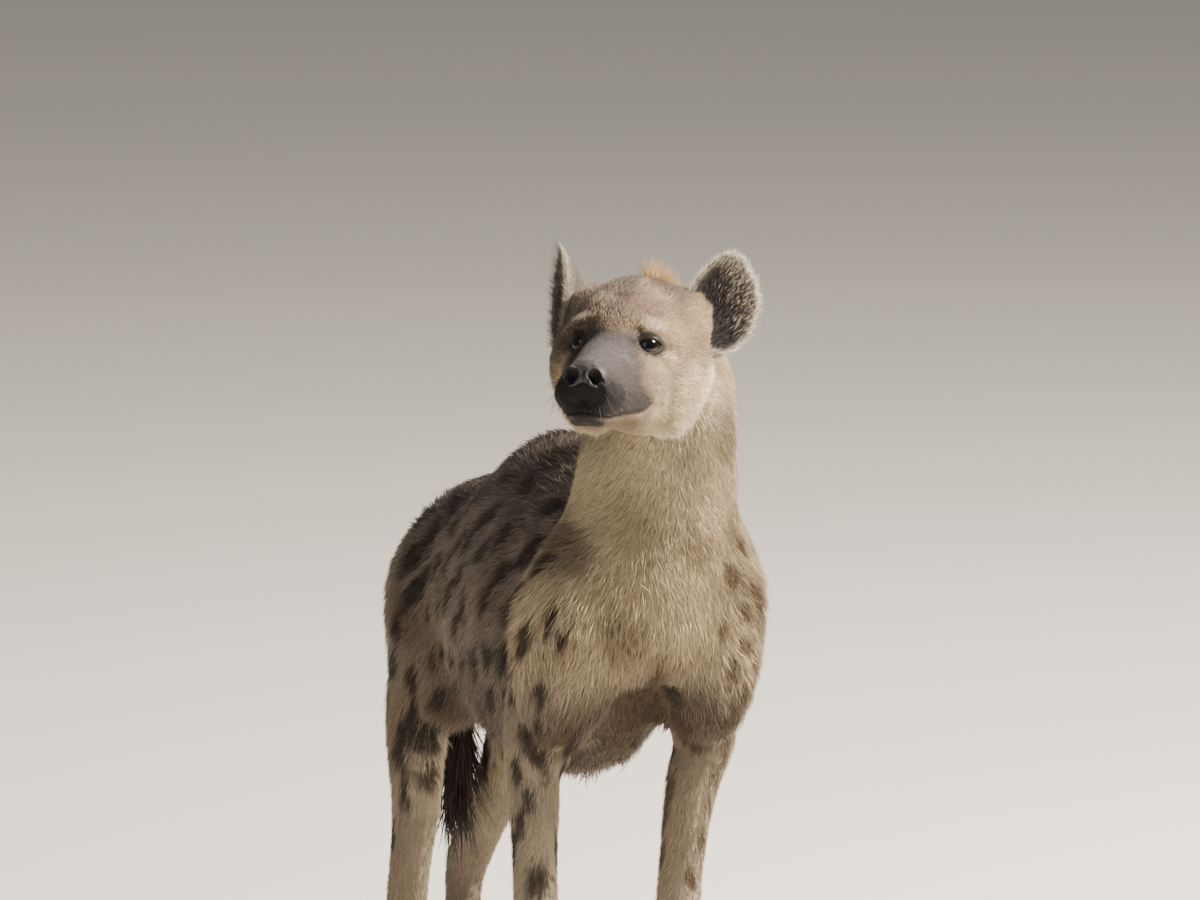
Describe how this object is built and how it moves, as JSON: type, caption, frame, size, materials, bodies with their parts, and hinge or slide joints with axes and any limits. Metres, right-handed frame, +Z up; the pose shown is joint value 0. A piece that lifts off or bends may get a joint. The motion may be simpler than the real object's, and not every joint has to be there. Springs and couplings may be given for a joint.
{
  "type": "spotted hyena",
  "caption": "Life-size still model of a standing spotted hyena, head raised and turned to its right, resting on its paws.",
  "frame": {"origin": "on the floor, under the middle of the animal's bounding box", "axes": "+Z up; the animal faces -Y, so its left is +X; the body's length runs along Y"},
  "size_m": [0.322, 1.1344, 1.0417],
  "materials": {
    "face_coat": "short dense fur, grizzled tan with a dark muzzle",
    "neck_coat": "medium fur, cream and tan, nearly unspotted, with a short mane on the nape",
    "body_coat": "shaggy buff fur with dark brown spots",
    "tail_coat": "long dark brown brush on a short-furred dock",
    "ear_coat": "short fur with pale hairs along the rim over dark skin",
    "eye": "wet glossy dark brown eye",
    "nose_leather": "moist grained black nose skin",
    "leg_coat": "short fur with dark spots on the outer sides",
    "paw_coat": "very short dark brown fur over pads",
    "claw_horn": "worn blunt horn"
  },
  "bodies": {
    "root": {"eye_right": "eye", "eye_left": "eye", "head": "face_coat", "nose": "nose_leather", "ear_left": "ear_coat", "ear_right": "ear_coat", "torso": "body_coat", "neck": "neck_coat", "tail": "tail_coat", "foreleg_left": "leg_coat", "forepaw_left": "paw_coat", "foreleg_right": "leg_coat", "forepaw_right": "paw_coat", "hindleg_left": "leg_coat", "hindpaw_left": "paw_coat", "hindleg_right": "leg_coat", "hindpaw_right": "paw_coat"}
  },
  "joints": []
}
